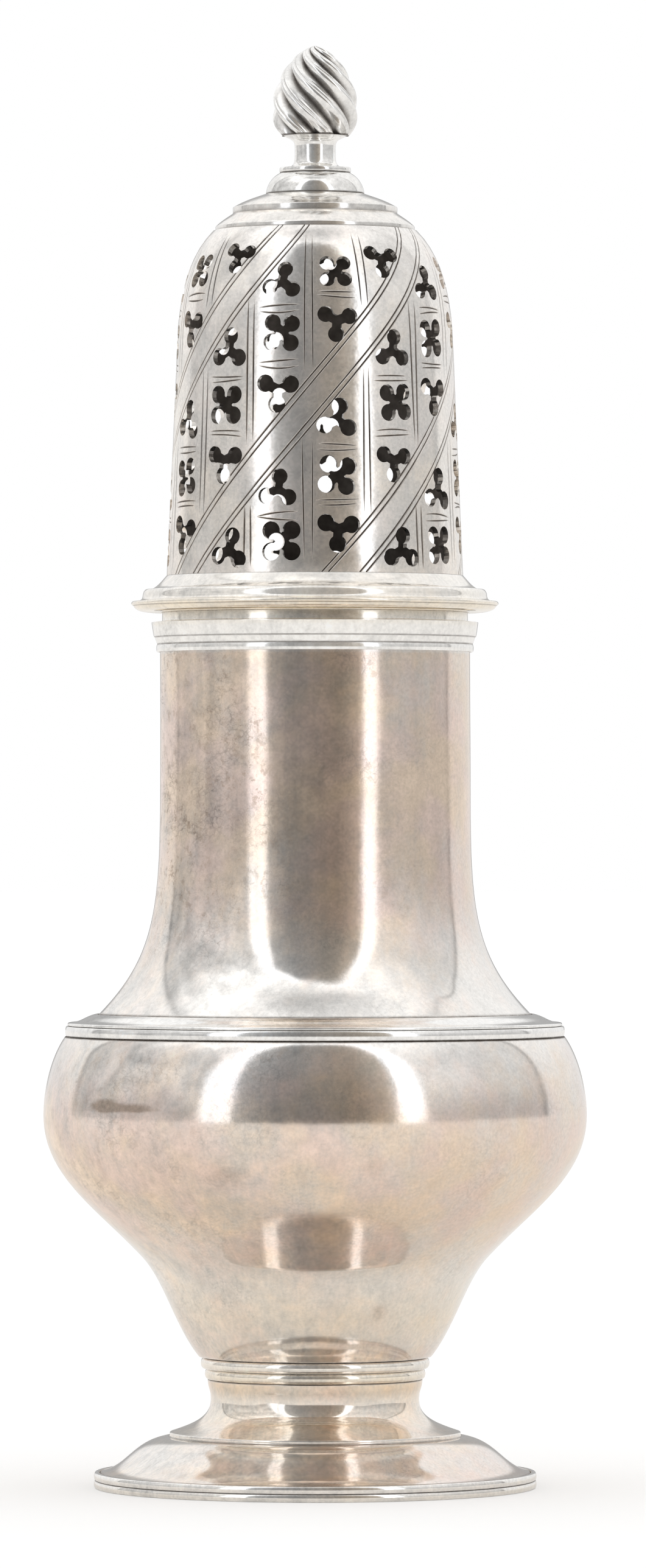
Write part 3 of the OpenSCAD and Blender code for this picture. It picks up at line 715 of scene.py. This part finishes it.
def domeMeridian():
    # outer outline of the dome, bottom to top, a straight wall and a cubic bend, with the length along the sheet
    # from the bottom edge and the outward normals
    size, side = sizes["dome"], cover["dome"]
    topR = sizes["crown"].r + side["topOut"]
    lean = np.array((-side["lean"], size.high - size.low - side["shoulderH"]))
    shoulder = np.array((size.r, size.low)) + lean
    straight = np.linspace((size.r, size.low), shoulder, 40)
    bend = curve(shoulder, side["bend"] * lean / np.linalg.norm(lean), side["meet"], (topR, size.high), 60)
    outline = np.vstack([straight, bend[1:]])
    along = np.append(0, np.cumsum(np.linalg.norm(np.diff(outline, axis=0), axis=1)))
    return outline, along, -inward(outline)


def foilOutline(headings):
    # outline of a sawn foil: each lobe is an arc of a circle around its heading, left open for its stem, and
    # between two lobes the stems' edges meet on the line that halves the angle
    p = pierced
    opening = math.asin(p["stemW"] / 2 / p["lobeR"])
    headings = np.radians(headings)
    t = np.linspace(-np.pi + opening, np.pi - opening, p["lobePoints"])
    arc = headings[:, None] + t
    lobes = p["lobeOut"] * np.stack([np.cos(headings), np.sin(headings)], 1)[:, None]
    lobes = lobes + p["lobeR"] * np.stack([np.cos(arc), np.sin(arc)], 2)
    half = (np.roll(headings, -1) - headings) % (2 * np.pi) / 2
    crotch = p["stemW"] / 2 / np.sin(half)
    between = np.stack([crotch * np.cos(headings + half), crotch * np.sin(headings + half)], 1)
    return np.concatenate([lobes, between[:, None]], 1).reshape(-1, 2)


def cellGrid():
    # headings and heights of the pierced cells: columns around the dome, each a third of the pitch above the last,
    # strips one pitch apart and three cells in a strip
    p, size = pierced, sizes["dome"]
    column, strip, cell = np.meshgrid(np.arange(p["bands"] * p["columnsEach"]), np.arange(-5, 6), (-1, 0, 1))
    heading = p["firstHeading"] + column * 360 / (p["bands"] * p["columnsEach"])
    z = (size.low + p["firstCell"] + column % p["columnsEach"] * p["pitch"] / p["columnsEach"]
         + strip * p["pitch"] + cell * p["cellPitch"])
    low, high = size.low + p["margin"], size.high - p["margin"]
    shown = (z > low - p["shift"]) & (z < high)
    return heading[shown], np.maximum(z, low)[shown], cell[shown]


def strokes(lines, half):
    # engraved lines as three rails each: the middle and, half a width to each side along its normal, two edges
    d = np.gradient(lines, axis=1)
    d /= np.linalg.norm(d, axis=2, keepdims=True)
    aside = np.stack([-d[..., 1], d[..., 0]], 2) * half[..., None]
    rails = np.stack([lines + aside, lines, lines - aside], 1)
    count = lines.shape[1]
    start = np.arange(rails.shape[0] * 3)[:, None] * count + np.arange(count - 1)
    return rails.reshape(-1, 2), np.stack([start, start + 1], -1).reshape(-1, 2)


def cutDepth(points, lines, half, depth):
    # depth of a V-shaped cut at each point: full on the middle of a line and none half a width away from it
    a, b = lines[:, :-1].reshape(-1, 2), lines[:, 1:].reshape(-1, 2)
    widthA, widthB = half[:, :-1].ravel(), half[:, 1:].ravel()
    d = b - a
    deep = np.zeros(len(points))
    for part in np.array_split(np.arange(len(points)), 1 + len(points) // 1500):
        offset = points[part, None] - a
        t = np.clip((offset * d).sum(2) / (d * d).sum(1), 0, 1)
        away = np.linalg.norm(offset - t[..., None] * d, axis=2)
        width = widthA + t * (widthB - widthA)
        share = 1 - away / np.maximum(width, 1e-6)
        deep[part] = np.clip(share * width * 2 / engraved["lineW"], 0, 1).max(1) * depth
    return deep


def engravedLines(along, outline, wide):
    # all engraved lines on the unrolled dome, as (distance around, distance up) in mm with half the width at each
    # point: two pairs along each spiral band, a pair between columns from band to band, and between the cells of a
    # column a pair that bows apart
    p, e, size = pierced, engraved, sizes["dome"]
    draw = np.random.default_rng(p["seed"])
    perDegree = wide / 360
    rise = p["pitch"] * p["bands"] / 360
    around = lambda heading: (heading - p["firstHeading"]) * perDegree
    up = lambda z: np.interp(z, outline[:, 1], along)
    bandZ = lambda heading: size.low + p["firstCell"] + (heading - p["firstHeading"]) * rise + p["pitch"] / 2
    steep = math.hypot(1, rise / perDegree)
    outer, inner = e["bandHalf"] * steep, (e["bandHalf"] - e["lineGap"]) * steep
    v = np.linspace(-e["past"], along[-1] + e["past"], e["longPoints"])
    z = np.interp(v, along, outline[:, 1])
    found = []
    for strip in e["bandStrips"]:
        for offset in (-outer, -inner, inner, outer):
            heading = p["firstHeading"] + (z - offset - strip * p["pitch"] - size.low - p["firstCell"]
                                           - p["pitch"] / 2) / rise
            sway = e["sway"] * np.sin(v / e["swayLength"] + strip % p["bands"] * e["swayTurn"] + offset)
            line = np.stack([around(heading) + sway, v], 1)
            if np.abs(line[:, 0]).min() < wide / 2 + e["longBeyond"]:
                found.append(line)
    long = np.array(found)

    columns = p["bands"] * p["columnsEach"]
    reach = 360 / columns
    clear = outer + e["clear"]
    x = np.linspace(-1, 1, e["points"])
    found = []
    for column in range(columns):
        between = p["firstHeading"] + (column + 0.5) * reach
        middle = p["firstHeading"] + column * reach
        for strip in e["cellStrips"]:
            low = max(bandZ(between) + strip * p["pitch"] + clear, size.low + e["lowClear"])
            high = min(bandZ(between) + (strip + 1) * p["pitch"] - clear, size.high - e["highClear"])
            if high - low < e["least"]:
                continue
            for side in (-1, 1):
                lean = draw.normal(0, e["leanBy"], 2)
                ends = up(low) + draw.uniform(0, e["shortBy"]), up(high) - draw.uniform(0, e["shortBy"])
                u = around(between) + side * e["pairGap"] / 2 + np.linspace(*lean, e["points"])
                found.append(np.stack([u, np.linspace(*ends, e["points"])], 1))
        for strip in e["cellStrips"]:
            for share in (-0.5, 0.5):
                level = bandZ(middle) - p["pitch"] / 2 + strip * p["pitch"] + share * p["cellPitch"]
                if not size.low + e["levelLow"] < level < size.high - e["levelHigh"]:
                    continue
                for side in (-1, 1):
                    tilt, bow = draw.normal(0, e["tiltBy"]), draw.normal(0, e["bowBy"])
                    u = around(middle) + x * (reach * perDegree / 2 - e["pairGap"] - draw.uniform(0, e["shortBy"]))
                    bulge = 1 - x * x
                    found.append(np.stack([
                        u, up(level) + side * (e["apart"] + e["swell"] * bulge) + tilt * x + bow * bulge], 1))
    short = np.array(found)
    first = short[:, :1, 0].copy()
    short[..., 0] = short[..., 0] - first + (first + wide / 2) % wide - wide / 2
    taper = np.sin(np.linspace(0, np.pi, e["points"])) ** e["taper"]
    lines = [(long, np.full(long.shape[:2], e["lineW"] / 2))]
    for turn in (-1, 0, 1):
        copy = short + (turn * wide, 0)
        copy = copy[np.abs(copy[:, :, 0]).min(1) < wide / 2 + e["shortBeyond"]]
        lines.append((copy, np.repeat((taper * e["lineW"] / 2)[None], len(copy), 0)))
    return lines


def domeFoils(along, outline, wide):
    # outlines of all foils on the unrolled dome, in one array for each kind: drawn in its cell, shifted as listed,
    # turned and grown a little at random, and flattened where the sheet leans in
    p = pierced
    draw = np.random.default_rng(p["seed"] + 1)
    heading, z, cell = cellGrid()
    shrink = np.interp(z, outline[:, 1], outline[:, 0]) / outline[0, 0]
    middle = np.stack([((heading - p["firstHeading"] + 180) % 360 - 180) * wide / 360,
                       np.interp(z, outline[:, 1], along)], 1)
    middle += draw.normal(0, p["placeBy"], middle.shape)
    for at, level, right, higher in p["moved"]:
        near = (np.abs((heading - at + 180) % 360 - 180) < 1) & (np.abs(z - level) < 0.2)
        middle[near] += (right, higher)
    spin, grow = np.radians(draw.normal(0, p["turnBy"], len(z))), draw.normal(1, p["growBy"], len(z))
    foils = []
    for kind, headings in ((0, p["four"]), (1, p["upright"]), (-1, p["hanging"])):
        these = cell == kind
        shape = foilOutline(headings)
        c, s = np.cos(spin[these]) * grow[these], np.sin(spin[these]) * grow[these]
        u = shape[:, 0] * c[:, None] - shape[:, 1] * s[:, None]
        v = (shape[:, 0] * s[:, None] + shape[:, 1] * c[:, None]) * shrink[these][:, None]
        foils.append(middle[these][:, None] + np.stack([u, v], 2))
    return foils


def makeDome():
    # the dome is drawn flat, as distance around times distance up its sheet: foils, engraved lines and a grid of
    # points are joined by a triangulation that keeps every drawn edge. Each point is then rolled back onto the
    # meridian, lowered where it lies in a cut, doubled one wall further in, and the open edges are closed
    p, e = pierced, engraved
    outline, along, outward = domeMeridian()
    wide = 2 * np.pi * outline[0, 0]
    left, length = -wide / 2, along[-1]
    foils = domeFoils(along, outline, wide)
    lines = engravedLines(along, outline, wide)

    across = np.linspace(left, -left, int(wide / p["grid"]))
    upright = np.linspace(0, length, int(length / p["grid"]))
    row = lambda u, v: np.stack(np.broadcast_arrays(u, v), 1)
    border = np.vstack([row(across[:-1], 0), row(-left, upright[:-1]), row(across[:0:-1], length),
                        row(left, upright[:0:-1])])
    points, faces, edges, used = [border], [list(range(len(border)))], [], len(border)
    for group in foils:
        faces += (used + np.arange(group.size // 2).reshape(group.shape[:2])).tolist()
        points.append(group.reshape(-1, 2))
        used += group.size // 2
    for drawn, half in lines:
        rails, joins = strokes(drawn, half)
        points.append(rails)
        edges.append(joins + used)
        used += len(rails)
    points.append(np.stack(np.meshgrid(across[1:-1], upright[1:-1]), -1).reshape(-1, 2))
    made = delaunay_2d_cdt(np.vstack(points).tolist(), np.vstack(edges).tolist(), faces, 0, 1e-4, True)
    flatPoints = np.array([tuple(v) for v in made[0]])
    tris = np.array([f for f, owner in zip(made[2], made[5]) if owner == [0]])  # the sheet, without the foils

    # the two ends of the unrolled sheet meet behind: their points pair up by height
    ends = []
    for side in (left, -left):
        end = np.flatnonzero(np.abs(flatPoints[:, 0] - side) < 2e-4)
        end = end[np.isin(end, tris)]
        ends.append(end[np.argsort(flatPoints[end, 1])])
    print("dome ends meet at", len(ends[0]), len(ends[1]), "points")
    same = np.arange(len(flatPoints))
    same[ends[1]] = ends[0]
    kept, tris = np.unique(same[tris], return_inverse=True)
    tris = tris.reshape(-1, 3)
    flatPoints = flatPoints[kept]

    angle = np.radians(flatPoints[:, 0] * 360 / wide + p["firstHeading"] - 90)
    r, z, nr, nz = (np.interp(flatPoints[:, 1], along, column) for column in (*outline.T, *outward.T))
    deep = np.max([cutDepth(flatPoints, drawn, half, e["lineDepth"]) for drawn, half in lines], 0)
    r = r + handRaised(angle, z)
    outwards = np.stack([nr * np.cos(angle), nr * np.sin(angle), nz], 1)
    outer = np.stack([r * np.cos(angle), r * np.sin(angle), z], 1)
    verts = np.vstack([outer - outwards * deep[:, None], outer - outwards * wall])
    count = len(outer)
    ordered = np.vstack([tris[:, (0, 1)], tris[:, (1, 2)], tris[:, (2, 0)]])
    where, times = np.unique(np.sort(ordered, 1), axis=0, return_inverse=True, return_counts=True)[1:]
    a, b = ordered[times[where.ravel()] == 1].T
    walls = np.vstack([np.stack([b, a, a + count], 1), np.stack([b, a + count, b + count], 1)])
    allTris = np.vstack([tris, tris[:, ::-1] + count, walls])
    slots = np.repeat((0, 1, 0), (len(tris), len(tris), len(walls)))
    finishes = [silvers["engraved_silver"], insides["cover"]]
    piece = addObject("domeShell", verts, allTris.tolist(), finishes, slots)

    # normals: the true ones of the meridian on the plain sheet, those of the faces in cuts and sawn edges
    first, second, third = (verts[allTris[:, k]] for k in range(3))
    flatNormals = np.cross(second - first, third - first)
    flatNormals /= np.maximum(np.linalg.norm(flatNormals, axis=1, keepdims=True), 1e-12)
    cutFace = deep[tris].max(1) > 0.1 * e["lineDepth"]
    cornerNormals = np.repeat(flatNormals[:, None], 3, 1)
    plain = np.flatnonzero(~cutFace)
    cornerNormals[plain] = outwards[tris[plain]]
    cornerNormals[len(tris):2 * len(tris)] = -outwards[tris[:, ::-1]]
    piece.data.normals_split_custom_set(cornerNormals.reshape(-1, 3).tolist())
    soil = np.zeros((len(allTris), 3))
    soil[:len(tris)] = np.where(cutFace[:, None], e["soil"] + e["deepSoil"] * deep[tris] / e["lineDepth"], 0)
    paint(piece, "soil", soil, "CORNER")
    paint(piece, "wear", np.zeros(len(verts)))
    print("dome: foils", sum(len(g) for g in foils), "cut faces", int(cutFace.sum()))
    dress(piece, "dome", "cover")


# Finial

finial = {"disc": 0.64, "discProud": 0.1, "topR": 4.25, "stemR": 2.5, "cupR": 3.9, "tangR": 1.2, "tangHole": 1.25,
          "plinthLeave": (-0.1, 1.2), "plinthMeet": (-0.9, 0.4)}


def makePlinth():
    # rounded drum on one cubic with a thin disc on top
    size = sizes["finial_plinth"]
    hole, discZ = finial["tangHole"], size.high - finial["disc"]
    outline = np.vstack([
        [(hole, size.low)],
        curve((size.r, size.low), finial["plinthLeave"], finial["plinthMeet"], (finial["topR"], discZ), 16),
        bead(finial["topR"], discZ, size.high, finial["discProud"]),
        [(hole, size.high)]])
    turned("finialPlinth", "finial_plinth", "cover", "moulding_silver", outline, [(size.r, size.low)],
           sides=160, edge=0.06)


def makeStem():
    # stem between two flares, each a cubic, on a tang down through plinth and crown
    size, seatZ = sizes["finial_stem"], sizes["finial_plinth"].high
    cupR, stemR, tangR = finial["cupR"], finial["stemR"], finial["tangR"]
    flare = cupR - stemR
    waist = (stemR, (seatZ + size.high) / 2)
    outline = np.vstack([
        [(0, size.low), (tangR, size.low), (tangR, seatZ)],
        curve((cupR, seatZ), (-flare, 0), (0, flare), waist, 16),
        curve(waist, (0, flare), (flare, flare / 2), (cupR, size.high), 16)[1:],
        [(0, size.high)]])
    seams = [(cupR, seatZ), (cupR, size.high)]
    turned("finialStem", "finial_stem", "cover", "moulding_silver", outline, seams, sides=128, edge=0.06)


flame = {"footR": 4.3, "swell": 2.3, "leave": 3, "meet": (-4.15, 1.3), "tipR": 0.25, "ribs": 8, "depth": 1.12,
         "round": 1.1, "tipShare": 0.3, "lead": 1.15, "leastR": 1.3, "cut": 0.6, "cutWidth": 0.045, "cutDepth": 0.14,
         "around": 320, "levels": 96, "soilReach": 0.19, "soil": 0.68, "cutSoil": 0.35, "footSoil": 0.7, "wear": 8}


def fineCut(phase):
    # bell around the place of the cut
    return np.exp(-((phase - flame["cut"]) / flame["cutWidth"]) ** 2)


def makeFlame():
    # bud of winding ribs: at height v and angle a the radius is the bud's, less the groove depth where the rib's
    # section, a round ridge with a fine cut along it, falls short of 1, and the angle winds on with the sum of lead
    # over radius, so that the ribs keep their slope
    size, around = sizes["finial_flame"], flame["around"]
    bud = curve((flame["footR"], 0), (flame["swell"], flame["leave"]), flame["meet"],
                (flame["tipR"], size.high - size.low), flame["levels"])
    angle = np.linspace(0, 2 * np.pi, around, endpoint=False)
    r, v = bud[:, :1], bud[:, 1:]
    phase = angle * flame["ribs"] / (2 * np.pi) % 1
    ridge = np.sin(np.pi * phase)
    section = ridge ** flame["round"] - flame["cutDepth"] * fineCut(phase)
    reach = r - np.minimum(flame["depth"], flame["tipShare"] * r) * (1 - section)
    pace = flame["lead"] / np.maximum(bud[:, 0], flame["leastR"])
    wound = np.append(0, np.cumsum((pace[1:] + pace[:-1]) / 2 * np.diff(bud[:, 1])))
    turn = angle - wound[:, None]
    verts = np.stack([reach * np.cos(turn), reach * np.sin(turn), np.broadcast_to(size.low + v, turn.shape)], -1)
    verts = np.vstack([verts.reshape(-1, 3), [(0, 0, size.low), (0, 0, size.high)]])
    faces = ringFaces(len(bud), around, True)
    piece = addObject("finialFlame", verts, faces, [silvers["cast_silver"]], np.zeros(len(faces)))
    away = np.minimum(phase, 1 - phase) / flame["soilReach"]
    hollow = np.exp(-away ** 2) * flame["soil"] + fineCut(phase) * flame["cutSoil"]
    hollow = np.broadcast_to(hollow, reach.shape).copy()
    hollow[:2] = np.maximum(hollow[:2], flame["footSoil"])
    worn = np.broadcast_to(ridge ** flame["wear"], reach.shape)
    paint(piece, "soil", np.append(hollow.ravel(), (0, 0)))
    paint(piece, "wear", np.append(worn.ravel(), (0, 0)))
    dress(piece, "finial_flame", "cover")


for make in (makeFootRim, makeFoot, makeCollar, makeBowl, makeGirdle, makeNeck, makeLip, makeSleeve, makeFlange,
             makeDome, makeCrown, makePlinth, makeStem, makeFlame):
    make()
print("pieces made")


# Stage

studio = {"openHalf": 36, "openTop": 64, "lampLeft": 50, "lampRight": 47, "lampTop": 65, "archEdge": (0.86, 1.1),
          "lamp": colour(1.7, 1.76, 1.86), "lampShare": 0.85, "lampFade": 0.45, "bar": 44, "barShare": 0.45,
          "flatLeft": 124, "flatRight": 116, "flatGrey": (0.62, 0.59), "clutter": (1.1, 0.4), "rear": 0.86,
          "panel": (167, 172), "panelTop": (16, 30), "panelShare": 0.5, "ceiling": 0.55,
          "darkLeft": colour(0.25, 0.253, 0.256), "darkRight": colour(0.255, 0.23, 0.2),
          "floorR": 6.0, "floorBack": 5.0, "floorSides": 128, "floorPale": (0.88, 0.9), "floorLift": 0.18}


def makeWorld():
    # light: even white on the floor; white for the camera; and for metal the same white behind and above, paler up
    # than down, with a dark room in front of the object, a lamp on each side of it, grey flats beside them and a
    # grey panel straight behind, as functions of the heading and the height of the direction in degrees
    world = bpy.data.worlds.new("studio")
    bpy.context.scene.world = world
    world.use_nodes = True
    tree = world.node_tree
    tree.nodes.clear()
    start = Socket(tree)
    way = start.add("ShaderNodeTexCoord", take="Generated")
    x = start.add("ShaderNodeSeparateXYZ", {}, {0: way})
    y, z = x.twin("Y"), x.twin("Z")
    heading = start.math("ARCTAN2", x, -y) * (180 / math.pi)
    right = heading.ease(-20, 20)
    side = abs(heading)
    height = start.math("ARCSINE", z) * (180 / math.pi)
    above = start.math("MAXIMUM", height, 0)

    def arch(half, top):
        # 1 inside a round-headed opening of that half width and height
        return 1 - ((side / half) ** 4 + (above / top) ** 4).ease(*studio["archEdge"])

    opening = arch(studio["openHalf"], studio["openTop"])
    lamp = arch(right.blend(studio["lampLeft"], studio["lampRight"]), studio["lampTop"])
    bar = (1 - abs(side - studio["bar"]).ease(0.5, 1.6)) * (1 - right) * studio["barShare"]
    flats = (right.blend(*studio["flatGrey"])
             + height.ease(2, 24) * (right.blend(0.18, 0.26) - side.ease(50, 100) * 0.1)
             + height.ease(34, 58) * right.blend(0.5, 0.3))
    clutter = noise(way, 0.13, 2, 0.5, (0, 0, 0), (1, 1, 0.45)) - 0.5
    flats = flats * (1 + clutter * right.blend(*studio["clutter"]))
    flatEnd = right.blend(studio["flatLeft"], studio["flatRight"])
    behind = (side - flatEnd).ease(-1, 3)
    line = 1 - abs(side - flatEnd).ease(0.6, 2)
    level = behind.blend(flats, height.ease(0, 30).blend(studio["rear"], 1)) * (1 - line * 0.5)
    panel = side.ease(*studio["panel"]) * (1 - height.ease(*studio["panelTop"]))
    level = level * (1 - panel * studio["panelShare"])
    level = (height.ease(62, 80) * (-y).ease(-0.1, 0.25)).blend(level, studio["ceiling"])
    grey = start.add("ShaderNodeCombineColor", {}, {0: level, 1: level, 2: level})
    glow = lamp * (1 - bar) * right.blend(studio["lampShare"], 1) * (1 - height.ease(28, 58) * studio["lampFade"])
    dark = right.mix(studio["darkLeft"], studio["darkRight"])
    paler = 1 + height.ease(8, 50) * 0.25 + side.ease(14, 37) * 0.9
    dark = start.add("ShaderNodeVectorMath", {"operation": "SCALE"}, {0: dark, "Scale": paler})
    room = opening.mix(glow.mix(grey, studio["lamp"]), dark)
    ray = start.add("ShaderNodeLightPath", take="Is Camera Ray")
    reflected = start.math("MAXIMUM", ray.twin("Is Glossy Ray"), ray.twin("Is Transmission Ray"))
    sight = reflected.mix(colour(1, 1, 1), room)
    shown = start.add("ShaderNodeBackground", {}, {"Color": sight, "Strength": 1})
    start.add("ShaderNodeOutputWorld", {}, {"Surface": shown})


def makeFloor():
    # pale floor: one broad matt disc that ends in front of the object, lifted to white for the camera
    sides, rim, back = studio["floorSides"], studio["floorR"] / mm, studio["floorBack"] / mm
    a = np.linspace(0, 2 * np.pi, sides, endpoint=False)
    verts = np.stack([rim * np.cos(a), back + rim * np.sin(a), np.zeros_like(a)], 1)
    finish, start, place = newFinish("paleFloor")
    shade = noise(place, 40, 3).blend(*studio["floorPale"])
    tone = start.add("ShaderNodeCombineColor", {}, {0: shade, 1: shade * 0.985, 2: shade * 0.965})
    matt = start.add("ShaderNodeBsdfDiffuse", {}, {"Color": tone})
    lift = start.add("ShaderNodeLightPath", take="Is Camera Ray") * studio["floorLift"]
    glow = start.add("ShaderNodeEmission", {}, {"Color": colour(0.87, 0.93, 1), "Strength": lift})
    both = start.add("ShaderNodeAddShader", {}, {0: matt, 1: glow})
    start.add("ShaderNodeOutputMaterial", {}, {"Surface": both})
    floor = addObject("floor", verts, [list(range(sides))], [finish], [0], False)


camera = {"away": 1.160, "height": 0.080, "pitch": 0.27, "aside": 0.00096, "tall": 0.190624}


def makeCamera():
    # level view from the front; the lens takes in the photograph's height at the object's axis
    data = bpy.data.cameras.new("camera")
    data.sensor_fit = "VERTICAL"
    data.sensor_height = 24
    data.lens = data.sensor_height * camera["away"] / camera["tall"]
    data.clip_start, data.clip_end = 0.01, 50
    eye = bpy.data.objects.new("camera", data)
    eye.location = (camera["aside"], -camera["away"], camera["height"])
    eye.rotation_euler = (math.radians(90 + camera["pitch"]), 0, 0)
    bpy.context.scene.collection.objects.link(eye)
    bpy.context.scene.camera = eye


makeWorld()
makeFloor()
makeCamera()
bpy.context.scene.view_settings.view_transform = "Standard"
print("stage made")
